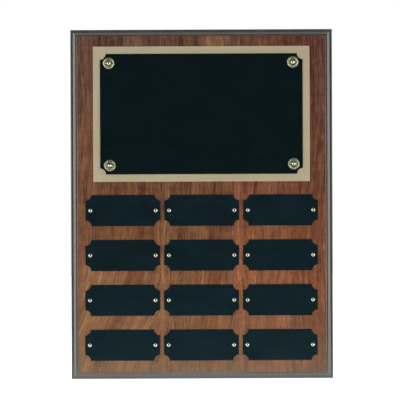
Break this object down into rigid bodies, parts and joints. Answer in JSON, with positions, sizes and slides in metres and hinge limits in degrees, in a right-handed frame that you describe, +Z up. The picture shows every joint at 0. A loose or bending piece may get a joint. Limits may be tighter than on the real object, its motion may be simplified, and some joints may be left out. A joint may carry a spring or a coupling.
{
  "type": "perpetual award plaque",
  "caption": "Upright walnut award plaque with a black routed edge, a black header plate on a satin gold backing held by rosettes, and a grid of pinned black name plates.",
  "frame": {"origin": "centre of the flat back face, which lies against the wall", "axes": "+Z up along the height, +Y out of the back face towards the wall, +X to the viewer's right when facing the front, which looks along -Y"},
  "size_m": [0.2286, 0.0191, 0.3048],
  "materials": {
    "walnut": "satin lacquered walnut, with the routed edge and the sides in gloss black paint",
    "satin_gold": "fine matt satin gold, with bright cut edges",
    "black_plate": "smooth satin black coating on thin sheet, bare metal at the cut edges",
    "rosette_brass": "pressed bright brass with darker flutes",
    "nail_brass": "polished brass"
  },
  "bodies": {
    "root": {"stave_left": "walnut", "stave_middle": "walnut", "stave_right": "walnut", "header_backing": "satin_gold", "header_plate": "black_plate", "rosette_top_left": "rosette_brass", "rosette_top_right": "rosette_brass", "rosette_bottom_left": "rosette_brass", "rosette_bottom_right": "rosette_brass", "rosette_nail_top_left": "nail_brass", "rosette_nail_top_right": "nail_brass", "rosette_nail_bottom_left": "nail_brass", "rosette_nail_bottom_right": "nail_brass", "name_plate_r1c1": "black_plate", "name_plate_r1c2": "black_plate", "name_plate_r1c3": "black_plate", "name_plate_r2c1": "black_plate", "name_plate_r2c2": "black_plate", "name_plate_r2c3": "black_plate", "name_plate_r3c1": "black_plate", "name_plate_r3c2": "black_plate", "name_plate_r3c3": "black_plate", "name_plate_r4c1": "black_plate", "name_plate_r4c2": "black_plate", "name_plate_r4c3": "black_plate", "pin_r1c1_left": "nail_brass", "pin_r1c1_right": "nail_brass", "pin_r1c2_left": "nail_brass", "pin_r1c2_right": "nail_brass", "pin_r1c3_left": "nail_brass", "pin_r1c3_right": "nail_brass", "pin_r2c1_left": "nail_brass", "pin_r2c1_right": "nail_brass", "pin_r2c2_left": "nail_brass", "pin_r2c2_right": "nail_brass", "pin_r2c3_left": "nail_brass", "pin_r2c3_right": "nail_brass", "pin_r3c1_left": "nail_brass", "pin_r3c1_right": "nail_brass", "pin_r3c2_left": "nail_brass", "pin_r3c2_right": "nail_brass", "pin_r3c3_left": "nail_brass", "pin_r3c3_right": "nail_brass", "pin_r4c1_left": "nail_brass", "pin_r4c1_right": "nail_brass", "pin_r4c2_left": "nail_brass", "pin_r4c2_right": "nail_brass", "pin_r4c3_left": "nail_brass", "pin_r4c3_right": "nail_brass"}
  },
  "joints": []
}
